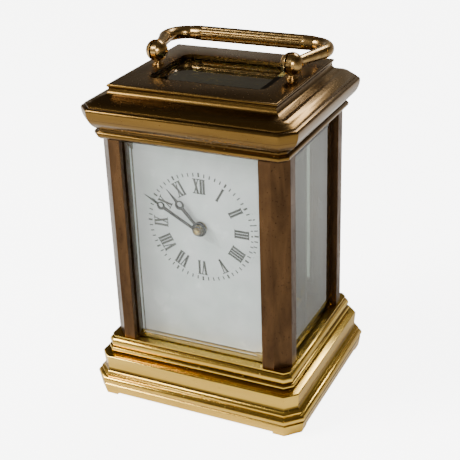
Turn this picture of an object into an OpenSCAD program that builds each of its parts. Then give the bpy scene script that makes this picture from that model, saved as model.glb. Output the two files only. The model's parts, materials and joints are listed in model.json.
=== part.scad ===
// Miniature brass carriage clock with a platform lever movement.
// Millimetres. +Z is up and the dial faces -Y.
// The origin is under the middle of the base, on the surface the clock stands on.

/* [Case] */
// Width over the widest bead of the base
case_w = 56; // [54:0.5:70]
// Depth over the widest bead of the base
case_d = 49.5; // [48.5:0.5:62]
// Height of the base, foot pads included
base_h = 15; // [14:0.5:20]
// Free height of the pillars between base and cornice
pillar_h = 52.1; // [51:0.1:64]
// Height of the foot pads
foot_h = 0.6; // [0.4:0.1:1]

/* [Pillars and glass] */
// Width of a pillar across its square section
pillar_s = 6.2; // [5.8:0.1:6.6]
// Leg of the chamfer on a pillar's outer corner
pillar_c = 3.3; // [2.5:0.1:3.6]
// Thickness of the plate glass
glass_t = 1.6; // [1.2:0.1:1.8]
// Width of the polished bevel round a pane
bevel_w = 2.9; // [2:0.1:4]

/* [Handle] */
// Distance from the handle's pivot to the middle of its grip
handle_reach = 17; // [15:0.5:20]
// Diameter of the reeded grip
grip_d = 3.6; // [3:0.1:4.4]
// Diameter of the handle where it bends into the grip
arm_d = 3.2; // [2.6:0.1:3.3]
// Diameter of the balls that the handle turns in
ball_d = 5.2; // [4.8:0.1:5.8]

/* [Dial and hands] */
// Height of the hands' centre above the case floor
dial_rise = 31; // [29:0.5:33]
// Outer radius of the minute track, which the hands are cut to
track_r = 13.7; // [13:0.1:14]
// Where the hour hand stands, in hours
hour_shown = 10.6; // [0:0.05:12]
// Where the minute hand stands, in minutes
minute_shown = 49.8; // [0:0.1:60]

/* [Movement] */
// Width of the movement's plates
plate_w = 31; // [30:0.5:32]
// Thickness of the movement's plates
plate_t = 1.4; // [1.2:0.1:1.6]
// Distance between the movement's plates
plate_gap = 17.6; // [17:0.1:18.5]
// Diameter of the mainspring barrel
barrel_d = 16.8; // [15:0.2:17.4]
// Radius of the balance wheel
balance_r = 4.8; // [4:0.1:5]

/* [Clearances] */
// Radial running clearance of an arbor in its bearing
run_gap = 0.04; // [0.02:0.01:0.08]
// Gap round a pane in its groove
glass_gap = 0.08; // [0.05:0.01:0.15]
// Radial gap round a screw in a plain hole
screw_gap = 0.1; // [0.05:0.01:0.15]
// Gap round the closed back door
door_gap = 0.12; // [0.08:0.01:0.2]

/* [Hidden] */
$fn = 48;
EPS = 0.01;
FAR = 200;
MITRE = 2 - sqrt(2);
gilt = [0.80, 0.62, 0.28];
dark_gilt = [0.62, 0.45, 0.22];
patina = [0.50, 0.35, 0.20];
brass = [0.83, 0.68, 0.36];
steel = [0.62, 0.64, 0.68];
blued = [0.06, 0.07, 0.12];
enamel = [0.94, 0.94, 0.95];
clear = [0.75, 0.86, 0.84, 0.35];
ruby = [0.75, 0.10, 0.22];

// Case levels and plan
half_w = case_w / 2;
half_d = case_d / 2;
cornice_h = 12.2;
cornice_z = base_h + pillar_h;
top_z = cornice_z + cornice_h;
face_inset = 4.75;
px = half_w - face_inset;
py = half_d - face_inset;
open_x = px - pillar_s;
open_y = py - pillar_s;
floor_t = 2.4;
roof_t = 2.8;
lip_t = 1;
cavity_inset = 6.3;
foot_l = 6.9;

// Panes
glass_set = 1.4;
groove_depth = 0.9;
glass_grip = 0.8;
bevel_t = 0.7;
front_glass_y = -py + glass_set;
side_glass_x = px - glass_set;
top_open_x = 14.6;
top_open_y = 10;
top_open_r = 2.2;
// Low enough for the bevels to clear the lip
top_glass_z = top_z - lip_t - 0.03 - glass_t + bevel_t * (1 - (glass_grip + 0.3 * top_open_r) / bevel_w);

// Long case screws
tie_x = px - pillar_s + 2.55;
tie_y = py - pillar_s + 2.55;
tie_r = 1;
tie_head_r = 1.8;
tie_head_t = 1.4;
tie_bite = 6;

// Handle
post_x = half_w - 11;
ball_r = ball_d / 2;
ball_rise = 3.35;
pivot_z = top_z + ball_rise;
tongue_t = 1.3;
tongue_r = ball_r - 0.5;
fork_gap = 0.16;
stem_r = 0.75;
washer_r = 1.5;
washer_t = 0.35;
handle_pin_r = 0.5;
arm_lean = 18;
arm_bend = 5;
arm_root = (handle_reach - arm_bend * (1 + sin(arm_lean))) / cos(arm_lean);
arm_root_d = 2;
arm_start = [arm_root * sin(arm_lean), arm_root * cos(arm_lean)];
bend_x = post_x + arm_start[0] - arm_bend * cos(arm_lean);
bend_y = handle_reach - arm_bend;
flutes = 10;

// Back door
door_t = 2.2;
door_r = door_t / 2;
door_y = py - 1.5;
hinge_x = open_x - door_r - door_gap / 2;
door_x0 = -open_x + door_gap;
door_z0 = base_h + 0.25;
door_z1 = cornice_z - 0.25;
stile = 3.6;
hinge_pin_r = 0.5;
hinge_pin_l = 1.4;
door_glass_t = 1.2;
knob_x = door_x0 + stile / 2;
knob_z = (door_z0 + door_z1) / 2;
knob_r = 1.9;
catch_w = 1.2;
catch_t = 0.8;
catch_l = 2.9;
catch_y = door_y - door_r - 0.15;

// Dial and motion work, seen from the front: a place is [x, z]
dial_c = [0, base_h + dial_rise];
dial_y = -py + 5.9;
dial_t = 1;
plate_front = dial_y + dial_t + 2.7;
plate_in = plate_front + plate_t;
plate_back_in = plate_in + plate_gap;
plate_back = plate_back_in + plate_t;
plate_z1 = base_h + 45;
dial_hole_r = 1.6;
motion_m = 0.2;
motion_step = motion_m * (12 + 36) / 2;
hour_m = 2 * motion_step / (10 + 40);
set_reach = 9.4;
set_lean = -30;
set_c = dial_c + set_reach * [cos(set_lean), sin(set_lean)];
minute_c = meet(dial_c, motion_step, set_c, motion_step, 1);

// Going train: tooth counts, modules and places
great_n = 84;
great_m = 0.25;
inter_n = 70;
inter_m = 0.2;
centre_n = 80;
centre_m = 0.17;
third_n = 60;
third_m = 0.18;
contrate_n = 64;
contrate_m = 0.16;
inter_pinion = 12;
centre_pinion = 10;
third_pinion = 8;
contrate_pinion = 8;
escape_pinion = 8;
barrel_c = dial_c + [-2.5, -16.8];
great_step = great_m * (great_n + inter_pinion) / 2;
inter_step = inter_m * (inter_n + centre_pinion) / 2;
centre_step = centre_m * (centre_n + third_pinion) / 2;
third_step = third_m * (third_n + contrate_pinion) / 2;
inter_c = meet(barrel_c, great_step, dial_c, inter_step, 1);
third_lean = 30;
third_c = dial_c + centre_step * [cos(third_lean), sin(third_lean)];
contrate_lean = 140;
contrate_c = third_c + third_step * [cos(contrate_lean), sin(contrate_lean)];
arbor_r = 0.5;
pivot_r = 0.35;
wheel_t = 0.6;

// Depths of the wheels behind the front plate's inner face
inter_wheel_y = plate_in + 2;
great_wheel_y = plate_in + 4.8;
third_wheel_y = plate_in + 4.4;
contrate_disc_y = plate_in + 10;
centre_wheel_y = plate_in + 12.4;
barrel_l = 9.4;
cover_t = 0.8;
great_t = 1.2;
barrel_arbor_r = 1.2;
square_s = 1.5;

// Winding work on the back plate
ratchet_n = 24;
ratchet_r = 4;
ratchet_t = 1;
ratchet_y = plate_back + 0.3;
click_lean = 30;
click_c = barrel_c + 6.2 * [cos(click_lean), sin(click_lean)];

// Platform: plan places are [x, y]
platform_t = 1;
platform_z = plate_z1;
platform_top = platform_z + platform_t;
crown_pitch_y = contrate_disc_y - 0.45;
escape_c = [contrate_c[0], crown_pitch_y - contrate_m * escape_pinion / 2];
lever_step = 3.5;
lever_c = escape_c - [lever_step, 0];
balance_c = lever_c - [3.6, 0];
escape_r = 2.9;
escape_z = platform_top + 0.6;
lever_z = escape_z;
lever_t = 0.4;
pallet_lean = 78;
roller_z = escape_z + 0.7;
balance_z = platform_top + 2;
spring_z = balance_z + 1.05;
cock_z = platform_top + 4.2;
platform_x0 = balance_c[0] - balance_r - 2.2;
platform_x1 = escape_c[0] + 7;

// ---------------------------------------------------------------- helpers

// Points along an arc, from angle a0 to a1
function arc(c, r, a0, a1, n) =
    [for (i = [0:n]) let (a = a0 + (a1 - a0) * i / n) c + r * [cos(a), sin(a)]];

// The point at distance ra from a and rb from b, on the side that s chooses
function meet(a, ra, b, rb, s) =
    let (
        d = norm(b - a),
        u = (b - a) / d,
        along = (ra * ra - rb * rb + d * d) / (2 * d),
        off = sqrt(ra * ra - along * along)
    )
    a + along * u + s * off * [-u[1], u[0]];

// Direction from a to b, in degrees
function bearing(a, b) = atan2(b[1] - a[1], b[0] - a[0]);

function mirrored(p, half) =
    concat([for (q = p) [half + q[0], q[1]]],
           [for (i = [len(p) - 1:-1:0]) [-half - p[i][0], p[i][1]]]);

// One tooth at pitch radius r and module m, centred on angle a; thick and tip are shares of half a pitch
function tooth(r, m, a, rise, drop, thick, tip) =
    let (w = 90 * m / r)
    [for (q = [[r - drop * m, -0.52 * thick], [r, -0.5 * thick], [r + 0.6 * rise * m, -0.36 * thick],
               [r + rise * m, -0.5 * tip], [r + rise * m, 0.5 * tip],
               [r + 0.6 * rise * m, 0.36 * thick], [r, 0.5 * thick], [r - drop * m, 0.52 * thick]])
        q[0] * [cos(a + q[1] * w), sin(a + q[1] * w)]];

// Outline of a wheel or pinion of n teeth, one tooth on angle a
function gear(n, m, a, rise, drop, thick, tip) =
    [for (k = [0:n - 1]) each tooth(n * m / 2, m, a + 360 * k / n, rise, drop, thick, tip)];
function wheel_outline(n, m, a) = gear(n, m, a, 1.1, 1.3, 0.84, 0.2);
function pinion_outline(n, m, a) = gear(n, m, a, 0.75, 1.45, 0.74, 0.3);

// Strip wound in a spiral from radius r0 to r1
function spiral(r0, r1, turns, t, steps) =
    let (n = turns * steps, grow = (r1 - r0) / n)
    concat([for (i = [0:n]) (r0 + grow * i) * [cos(360 * i / steps), sin(360 * i / steps)]],
           [for (i = [n:-1:0]) (r0 + t + grow * i) * [cos(360 * i / steps), sin(360 * i / steps)]]);

module box(lo, hi) { translate(lo) cube(hi - lo); }

module rect(x, y) { square([2 * x, 2 * y], center = true); }

// Four-sided moulding with its corners cut off, from one profile of [outset, height]
module moulding(profile, corner_inset) {
    slant = [for (q = profile)
        [(half_w + half_d + 2 * q[0] - MITRE * (q[0] + corner_inset)) / sqrt(2), q[1]]];
    intersection() {
        rotate([90, 0, 0]) linear_extrude(FAR, center = true) polygon(mirrored(profile, half_w));
        rotate([90, 0, 90]) linear_extrude(FAR, center = true) polygon(mirrored(profile, half_d));
        rotate([90, 0, 45]) linear_extrude(FAR, center = true) polygon(mirrored(slant, 0));
        rotate([90, 0, -45]) linear_extrude(FAR, center = true) polygon(mirrored(slant, 0));
    }
}

module four_corners(x, y) {
    for (sx = [-1, 1], sy = [-1, 1]) translate([sx * x, sy * y, 0]) children();
}

// Puts a flat outline, drawn as seen from the front, between y0 and y1
module plate_at(p, y0, y1) {
    translate([p[0], y1, p[1]]) rotate([90, 0, 0]) linear_extrude(y1 - y0) children();
}

module rod_y(p, y0, y1, r) { plate_at(p, y0, y1) circle(r); }

module rod_z(p, z0, z1, r) { translate([p[0], p[1], z0]) cylinder(h = z1 - z0, r = r); }

// Bevelled pane lying flat, bevels upward
module pane(w, h, t, bw, bt) {
    intersection() {
        rotate([90, 0, 0]) linear_extrude(2 * h, center = true) pane_section(w, t, bw, bt);
        rotate([90, 0, 90]) linear_extrude(2 * w, center = true) pane_section(h, t, bw, bt);
    }
}

module pane_section(w, t, bw, bt) {
    polygon([[-w / 2, 0], [w / 2, 0], [w / 2, t - bt], [w / 2 - bw, t],
             [-w / 2 + bw, t], [-w / 2, t - bt]]);
}

// Wheel rim, hub and spokes under a toothed outline
module crossed(outline, rim_r, hub_r, spokes) {
    difference() {
        polygon(outline);
        difference() {
            circle(rim_r);
            circle(hub_r);
            for (k = [0:spokes - 1]) rotate(360 * k / spokes) translate([0, -0.35]) square([rim_r + 1, 0.7]);
        }
    }
}

// Steel arbor between the plates with a pivot in each
module arbor(p) {
    rod_y(p, plate_in + 0.15, plate_back_in - 0.15, arbor_r);
    rod_y(p, plate_front + 0.1, plate_back - 0.1, pivot_r);
}

// ---------------------------------------------------------------- case

base_lift = base_h - 15;
base_profile = concat(
    [[-0.72, 0], [-0.28, 2.75], [-0.5, 2.95]],
    arc([-0.95, 3.95], 0.95, -70, 80, 7),
    [[-0.98, 5]],
    arc([-0.35, 7], 1.5, 250, 180, 5),
    [for (q = concat(
        arc([-1.9, 9.95], 0.3, 0, 90, 3),
        [[-3.9, 10.6]],
        arc([-3.65, 11.6], 0.55, -75, 75, 6),
        [[-3.95, 12.2]],
        arc([-4.75, 13.15], 1.35, -35, 75, 7),
        [[-4.42, 14.55], [-4.2, 14.62], [-4.2, 15]]
    )) q + [0, base_lift]]
);

cornice_profile = concat(
    [[-4.8, 0]],
    arc([-4.75, 1.05], 0.75, -60, 60, 6),
    [[-4.6, 1.95], [-4.55, 2.3]],
    arc([-6.7, 7], 5.1, -60, -5, 7),
    arc([-2.35, 7], 0.75, 0, 80, 5),
    [[-2.45, 7.8]],
    arc([-7.68, 0.71], 9, 55, 80, 8),
    arc([-6.25, 11.05], 1.4, 265, 180, 6),
    arc([-7.68, 11.82], 0.38, -75, 90, 5)
);

module base_moulding() color(gilt) {
    difference() {
        moulding(base_profile, 6.25);
        box([-half_w + foot_l, -FAR, -1], [half_w - foot_l, FAR, foot_h]);
        box([-FAR, -half_d + foot_l, -1], [FAR, half_d - foot_l, foot_h]);
        box([-half_w + cavity_inset, -half_d + cavity_inset, -1],
            [half_w - cavity_inset, half_d - cavity_inset, base_h - floor_t]);
        pane_slots(base_h - groove_depth, base_h + 1);
        four_corners(tie_x, tie_y) cylinder(h = base_h + 1, r = tie_r + screw_gap);
        for (s = [-1, 1]) rod_z([s * frame_pillar_x, plate_mid], 0, base_h + 1, 0.7 + screw_gap);
        rod_z([hinge_x, door_y], base_h - hinge_pin_l - 0.1, base_h + 1, hinge_pin_r + run_gap);
    }
}

plate_mid = (plate_in + plate_back_in) / 2;

// Grooves that hold the edges of the front and side panes
module pane_slots(z0, z1) {
    long_x = open_x + glass_grip + glass_gap;
    long_y = open_y + glass_grip + glass_gap;
    box([-long_x, front_glass_y - glass_gap, z0], [long_x, front_glass_y + glass_t + glass_gap, z1]);
    for (s = [-1, 1]) translate([s * (side_glass_x - glass_t / 2), 0, 0])
        box([-glass_t / 2 - glass_gap, -long_y, z0], [glass_t / 2 + glass_gap, long_y, z1]);
}

module top_opening(x, y, r) {
    rect(x - r, y);
    rect(x, y - r);
    for (sx = [-1, 1], sy = [-1, 1]) translate([sx * (x - r), sy * (y - r)]) circle(r);
}

module cornice() color(dark_gilt) {
    ceiling = top_z - roof_t;
    difference() {
        translate([0, 0, cornice_z]) moulding(cornice_profile, 7.14);
        box([-half_w + 8.6, -open_y, cornice_z - 1], [half_w - 8.6, open_y, ceiling]);
        box([-open_x, -half_d + 8.6, cornice_z - 1], [open_x, half_d - 8.6, ceiling]);
        translate([0, 0, top_z - 3]) linear_extrude(6) top_opening(top_open_x, top_open_y, top_open_r);
        box([-top_open_x - 0.9, -top_open_y - 0.9, ceiling - 1],
            [top_open_x + 0.9, top_open_y + 0.9, top_z - lip_t]);
        pane_slots(cornice_z - 1, cornice_z + groove_depth);
        four_corners(tie_x, tie_y) rod_z([0, 0], cornice_z - 1, cornice_z + tie_bite + 0.3, tie_r + 0.02);
        for (s = [-1, 1]) rod_z([s * post_x, 0], ceiling - 1, top_z + 1, 0.8 + screw_gap);
        for (sx = [-1, 1], sy = [-1, 1])
            rod_z([sx * 10, sy * (top_open_y + 2)], ceiling - 1, ceiling + 1.4, 0.42);
        rod_z([hinge_x, door_y], cornice_z - 1, cornice_z + hinge_pin_l + 0.1, hinge_pin_r + run_gap);
    }
}

// Pillar in the corner that sx and sy choose; back pillars have no slot for a front pane
module pillar(sx, sy) color(patina) {
    hole = [tie_x, tie_y];
    difference() {
        mirror([sx < 0 ? 1 : 0, 0, 0]) mirror([0, sy < 0 ? 1 : 0, 0])
        translate([0, 0, base_h]) linear_extrude(pillar_h) difference() {
            polygon([[open_x, open_y], [px, open_y], [px, py - pillar_c], [px - pillar_c, py], [open_x, py]]);
            translate(hole) circle(tie_r + screw_gap);
            translate([side_glass_x - glass_t - glass_gap, open_y - 1])
                square([glass_t + 2 * glass_gap, 1 + groove_depth]);
            if (sy < 0) translate([open_x - 1, -front_glass_y - glass_t - glass_gap])
                square([1 + groove_depth, glass_t + 2 * glass_gap]);
        }
        if (sx < 0 && sy > 0) box([-open_x - 1.35, catch_y - catch_t - 0.15, knob_z - catch_w / 2 - 0.25],
                                  [-open_x + 1, catch_y + 0.15, knob_z + 3.2]);
    }
}
module pillar_front_left() { pillar(-1, -1); }
module pillar_front_right() { pillar(1, -1); }
module pillar_back_left() { pillar(-1, 1); }
module pillar_back_right() { pillar(1, 1); }

module case_tie_screws() color(steel) {
    four_corners(tie_x, tie_y) difference() {
        union() {
            rod_z([0, 0], base_h - floor_t - tie_head_t, base_h - floor_t, tie_head_r);
            rod_z([0, 0], base_h - floor_t - EPS, cornice_z + tie_bite, tie_r);
        }
        box([-3, -0.2, 0], [3, 0.2, base_h - floor_t - tie_head_t + 0.5]);
    }
}

module front_glass() color(clear) {
    translate([0, front_glass_y + glass_t, base_h + pillar_h / 2]) rotate([90, 0, 0])
        pane(2 * (open_x + glass_grip), pillar_h + 2 * glass_grip, glass_t, bevel_w, bevel_t);
}

module side_glass(s) color(clear) {
    translate([s * (side_glass_x - glass_t), 0, base_h + pillar_h / 2]) rotate([0, s * 90, 0])
        pane(pillar_h + 2 * glass_grip, 2 * (open_y + glass_grip), glass_t, bevel_w, bevel_t);
}
module left_glass() { side_glass(-1); }
module right_glass() { side_glass(1); }

module top_glass() color(clear) {
    translate([0, 0, top_glass_z])
        pane(2 * top_open_x + 2 * glass_grip, 2 * top_open_y + 2 * glass_grip, glass_t, bevel_w, bevel_t);
}

retainer_t = 0.8;
retainer_z = top_z - roof_t - retainer_t;
module top_glass_retainer() color(brass) {
    translate([0, 0, retainer_z]) linear_extrude(retainer_t) difference() {
        rect(top_open_x + 0.9, top_open_y + 3.2);
        rect(top_open_x - 0.4, top_open_y - 0.4);
        for (sx = [-1, 1], sy = [-1, 1]) translate([sx * 10, sy * (top_open_y + 2)]) circle(0.4 + screw_gap);
    }
    translate([0, 0, retainer_z + 0.1]) linear_extrude(top_glass_z - 0.04 - retainer_z - 0.1) difference() {
        rect(top_open_x + 0.7, top_open_y + 0.7);
        rect(top_open_x - 0.2, top_open_y - 0.2);
    }
}

module retainer_screws() color(steel) {
    for (sx = [-1, 1], sy = [-1, 1]) translate([sx * 10, sy * (top_open_y + 2), 0]) difference() {
        union() {
            rod_z([0, 0], retainer_z - 0.5, retainer_z, 0.8);
            rod_z([0, 0], retainer_z - EPS, retainer_z + retainer_t + 1.2, 0.4);
        }
        box([-1, -0.1, retainer_z - 1], [1, 0.1, retainer_z - 0.3]);
    }
}

// ---------------------------------------------------------------- handle

module handle_arm() {
    translate([post_x, 0, 0]) rotate([0, 0, -arm_lean]) rotate([-90, 0, 0])
        cylinder(h = arm_root + 0.4, d1 = arm_root_d, d2 = arm_d - 0.12);
    translate([bend_x, bend_y, 0]) rotate([0, 0, -arm_lean])
        rotate_extrude(angle = 90 + arm_lean) translate([arm_bend, 0]) circle(d = arm_d, $fn = 32);
}

module handle_bail() color(dark_gilt) translate([0, 0, pivot_z]) {
    difference() {
        union() {
            for (m = [0, 1]) mirror([m, 0, 0]) {
                handle_arm();
                translate([post_x, 0, 0]) sphere(ball_r);
            }
            translate([0, handle_reach, 0]) rotate([0, 90, 0]) grip();
        }
        for (s = [-1, 1]) translate([s * post_x, 0, 0]) {
            rotate([0, 90, 0]) cylinder(h = tongue_t + 2 * fork_gap, r = tongue_r + 0.07, center = true);
            box([-tongue_t / 2 - fork_gap, -ball_r - 1, -ball_r - 1], [tongue_t / 2 + fork_gap, 1, ball_r + 1]);
            rotate([0, 90, 0]) cylinder(h = 3 * ball_r, r = handle_pin_r, center = true);
        }
    }
}

// Fluted grip along its own axis, tapering into the arms
module grip() {
    taper = 1.6;
    difference() {
        union() {
            cylinder(h = 2 * (bend_x - taper), d = grip_d, center = true);
            for (s = [0, 1]) mirror([0, 0, s]) translate([0, 0, bend_x - taper])
                cylinder(h = taper + 0.3, d1 = grip_d, d2 = arm_d + 0.2);
        }
        for (k = [0:flutes - 1]) rotate([0, 0, 360 * k / flutes]) translate([grip_d / 2 + 0.28, 0, 0])
            cylinder(h = 2 * (bend_x - taper) - 1.5, r = 0.45, center = true, $fn = 24);
    }
}

module handle_pivot_pins() color(brass) {
    for (s = [-1, 1]) translate([s * post_x, 0, pivot_z]) rotate([0, 90, 0])
        cylinder(h = 2 * ball_r - 0.6, r = handle_pin_r, center = true);
}

module handle_posts() color(brass) {
    for (s = [-1, 1]) translate([s * post_x, 0, 0]) difference() {
        union() {
            translate([0, 0, pivot_z]) rotate([0, 90, 0]) cylinder(h = tongue_t, r = tongue_r, center = true);
            rod_z([0, 0], top_z - roof_t - 1.8, pivot_z - ball_r - 0.05, stem_r);
            box([-tongue_t / 2, -stem_r + 0.2, pivot_z - ball_r - 0.1], [tongue_t / 2, stem_r - 0.2, pivot_z - 1]);
            rod_z([0, 0], top_z + washer_t, top_z + washer_t + 0.25, 1);
        }
        translate([0, 0, pivot_z]) rotate([0, 90, 0]) cylinder(h = 9, r = handle_pin_r + run_gap, center = true);
    }
}

module handle_washers() color(brass) {
    for (s = [-1, 1]) translate([s * post_x, 0, top_z]) difference() {
        cylinder(h = washer_t, r = washer_r);
        translate([0, 0, -1]) cylinder(h = 3, r = stem_r + screw_gap);
    }
}

module handle_nuts() color(brass) {
    for (s = [-1, 1]) translate([s * post_x, 0, top_z - roof_t - 1.3]) difference() {
        cylinder(h = 1.3, r = 1.5, $fn = 6);
        translate([0, 0, -1]) cylinder(h = 4, r = stem_r);
    }
}

// ---------------------------------------------------------------- back door

module door_frame() color(gilt) {
    win_x0 = door_x0 + stile;
    win_x1 = hinge_x - stile + door_r;
    difference() {
        union() {
            box([door_x0, door_y - door_r, door_z0], [hinge_x, door_y + door_r, door_z1]);
            rod_z([hinge_x, door_y], door_z0, door_z1, door_r);
        }
        box([win_x0, door_y - 3, door_z0 + stile], [win_x1, door_y + 3, door_z1 - stile]);
        box([win_x0 - 0.8, door_y - 3, door_z0 + stile - 0.8],
            [win_x1 + 0.8, door_y + door_r - 0.6, door_z1 - stile + 0.8]);
        for (z = [door_z0 - 1, door_z1 - hinge_pin_l])
            rod_z([hinge_x, door_y], z, z + hinge_pin_l + 1, hinge_pin_r);
        rod_y([knob_x, knob_z], door_y - 3, door_y + 3, 0.6 + run_gap);
    }
}

door_mid_x = (door_x0 + hinge_x + door_r) / 2;
door_pane_w = hinge_x + door_r - door_x0 - 2 * stile + 1.4;
door_pane_h = door_z1 - door_z0 - 2 * stile + 1.4;
module door_glass() color(clear) {
    translate([door_mid_x, door_y + door_r - 0.62 - door_glass_t, (door_z0 + door_z1) / 2])
        rotate([90, 0, 180]) pane(door_pane_w, door_pane_h, door_glass_t, 2, 0.5);
}

module door_glass_bead() color(brass) {
    translate([door_mid_x, 0, (door_z0 + door_z1) / 2])
        plate_at([0, 0], door_y - door_r + 0.02, door_y + door_r - 0.66 - door_glass_t) difference() {
            rect(door_pane_w / 2, door_pane_h / 2);
            rect(door_pane_w / 2 - 0.7, door_pane_h / 2 - 0.7);
        }
}

module door_hinge_pins() color(steel) {
    rod_z([hinge_x, door_y], base_h - hinge_pin_l, door_z0 + hinge_pin_l, hinge_pin_r);
    rod_z([hinge_x, door_y], door_z1 - hinge_pin_l, cornice_z + hinge_pin_l, hinge_pin_r);
}

module door_knob() color(brass) {
    rod_y([knob_x, knob_z], catch_y - catch_t, door_y + door_r + 0.2, 0.6);
    translate([knob_x, door_y + door_r + 0.1, knob_z]) rotate([-90, 0, 0]) {
        cylinder(h = 0.5, r1 = 1.2, r2 = 0.9);
        translate([0, 0, 0.5]) cylinder(h = 0.5, r1 = 0.9, r2 = knob_r);
        translate([0, 0, 1]) cylinder(h = 0.8, r = knob_r);
    }
    plate_at([knob_x, knob_z], catch_y - catch_t, catch_y) {
        circle(1);
        translate([-catch_w / 2, 0]) square([catch_w, catch_l]);
    }
}

// ---------------------------------------------------------------- dial and hands

dial_x = open_x - 0.25;
dial_z0 = base_h + 0.2;
dial_z1 = cornice_z - 0.3;
foot_x = plate_w / 2 - 5;
foot_zs = [plate_z1 - 6, base_h + 6];

module dial() color(enamel) {
    difference() {
        box([-dial_x, dial_y, dial_z0], [dial_x, dial_y + dial_t, dial_z1]);
        rod_y(dial_c, dial_y - 1, dial_y + 2, dial_hole_r);
    }
    for (i = [0, 1]) difference() {
        rod_y([foot_x * (2 * i - 1), foot_zs[i]], dial_y + dial_t - EPS, plate_in + 1.6, 0.6);
        translate([foot_x * (2 * i - 1), plate_in + 0.7, foot_zs[i]]) cylinder(h = 9, r = 0.25, center = true);
    }
}

module dial_pins() color(brass) {
    for (i = [0, 1]) translate([foot_x * (2 * i - 1), plate_in + 0.7, foot_zs[i]])
        cylinder(h = 3, r1 = 0.25, r2 = 0.2, center = true);
}

hour_hand_y = dial_y - 1.05;
minute_hand_y = dial_y - 2.1;
hand_t = 0.3;

// Moon hand: a tapering stem, an open ring and a leaf-shaped tip
module moon_hand(len, ring_at, ring_r, boss_r, stem, bore) {
    root = (bore + boss_r) / 2;
    stem_end = ring_at - 0.8 * ring_r;
    tip_start = ring_at + 0.8 * ring_r;
    difference() {
        union() {
            linear_extrude(hand_t) circle(boss_r);
            linear_extrude(hand_t)
                polygon([[-0.8 * stem, root], [-stem, stem_end], [stem, stem_end], [0.8 * stem, root]]);
            translate([0, ring_at]) linear_extrude(hand_t) circle(ring_r);
            linear_extrude(hand_t) polygon([[-0.8 * stem, tip_start], [0, len], [0.8 * stem, tip_start]]);
        }
        translate([0, 0, -1]) linear_extrude(3) circle(bore);
        translate([0.15 * ring_r, ring_at + 0.1 * ring_r, -1]) linear_extrude(3) circle(0.55 * ring_r);
    }
}

// Hand lying against the dial with its back at depth y, pointing at an angle clockwise from twelve
module on_dial(y, angle) {
    translate([0, y + hand_t, dial_c[1]]) rotate([90, 0, 0]) rotate(-angle) children();
}

module hour_hand() color(blued) {
    on_dial(hour_hand_y, 30 * hour_shown) moon_hand(track_r - 1.7, 7.2, 1.15, 1.85, 0.44, hour_pipe_r);
}

module minute_hand() color(blued) {
    on_dial(minute_hand_y, 6 * minute_shown) moon_hand(track_r + 1.6, 10.4, 1, 1.2, 0.4, cannon_r);
}

module hand_collet() color(brass) {
    translate([0, minute_hand_y - 0.02, dial_c[1]]) rotate([90, 0, 0]) difference() {
        cylinder(h = 0.45, r1 = 1, r2 = 0.7);
        translate([0, 0, -1]) cylinder(h = 3, r = 0.45);
    }
}

// ---------------------------------------------------------------- movement frame

frame_pillar_x = plate_w / 2 - 2.6;
pillar_spots = [for (x = [-1, 1], z = [base_h + 2.6, plate_z1 - 2.6]) [x * frame_pillar_x, z]];

module plate_blank() {
    translate([-plate_w / 2, base_h - dial_c[1]]) square([plate_w, plate_z1 - base_h]);
}

module bearing_holes(places, r) {
    for (p = places) translate(p - dial_c) circle(r + run_gap);
}

module front_plate() color(brass) {
    difference() {
        plate_at(dial_c, plate_front, plate_in) difference() {
            plate_blank();
            circle(arbor_r + run_gap);
            bearing_holes([inter_c, third_c, contrate_c], pivot_r);
            bearing_holes([barrel_c], barrel_arbor_r - 0.3);
            bearing_holes([set_c], arbor_r);
            for (i = [0, 1]) translate([foot_x * (2 * i - 1), foot_zs[i]] - dial_c) circle(0.6 + screw_gap);
            for (p = pillar_spots) translate(p - dial_c) circle(0.8);
        }
        platform_screw_holes(plate_z1 - 3);
    }
    rod_y(minute_c, minute_tip_y, plate_front + EPS, stud_r);
}

module back_plate() color(brass) {
    difference() {
        plate_at(dial_c, plate_back_in, plate_back) difference() {
            plate_blank();
            bearing_holes([dial_c, inter_c, third_c, contrate_c], pivot_r);
            bearing_holes([barrel_c], barrel_arbor_r);
            bearing_holes([set_c], arbor_r);
            for (p = pillar_spots) translate(p - dial_c) circle(0.7 + screw_gap);
            translate(click_c - dial_c) circle(0.4);
            translate(spring_foot - dial_c) circle(0.35);
        }
        platform_screw_holes(plate_z1 - 3);
    }
}

module plate_pillars() color(brass) {
    for (p = pillar_spots) difference() {
        union() {
            rod_y(p, plate_in, plate_back_in, 1.7);
            rod_y(p, plate_front, plate_in + EPS, 0.8);
        }
        rod_y(p, plate_back_in - 3, plate_back_in + 1, 0.72);
        if (p[1] < dial_c[1]) rod_z([p[0], plate_mid], base_h - 1, base_h + 2.6, 0.72);
    }
}

module slotted_screw_y(p, y_head, head_r, head_t, r, len) {
    difference() {
        union() {
            rod_y(p, y_head, y_head + head_t, head_r);
            rod_y(p, y_head - len, y_head + EPS, r);
        }
        translate([p[0], y_head + head_t, p[1]]) cube([3 * head_r, head_t, 0.25], center = true);
    }
}

module plate_screws() color(steel) {
    for (p = pillar_spots) slotted_screw_y(p, plate_back, 1.3, 0.8, 0.7, plate_t + 2.5);
}

module movement_screws() color(steel) {
    for (s = [-1, 1]) translate([s * frame_pillar_x, plate_mid, 0]) difference() {
        union() {
            rod_z([0, 0], base_h - floor_t - 1, base_h - floor_t, 1.3);
            rod_z([0, 0], base_h - floor_t - EPS, base_h + 2, 0.7);
        }
        box([-2, -0.15, 0], [2, 0.15, base_h - floor_t - 0.6]);
    }
}

// ---------------------------------------------------------------- barrel and winding work

drum_y0 = great_wheel_y + great_t;
drum_y1 = drum_y0 + barrel_l - cover_t;

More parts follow.
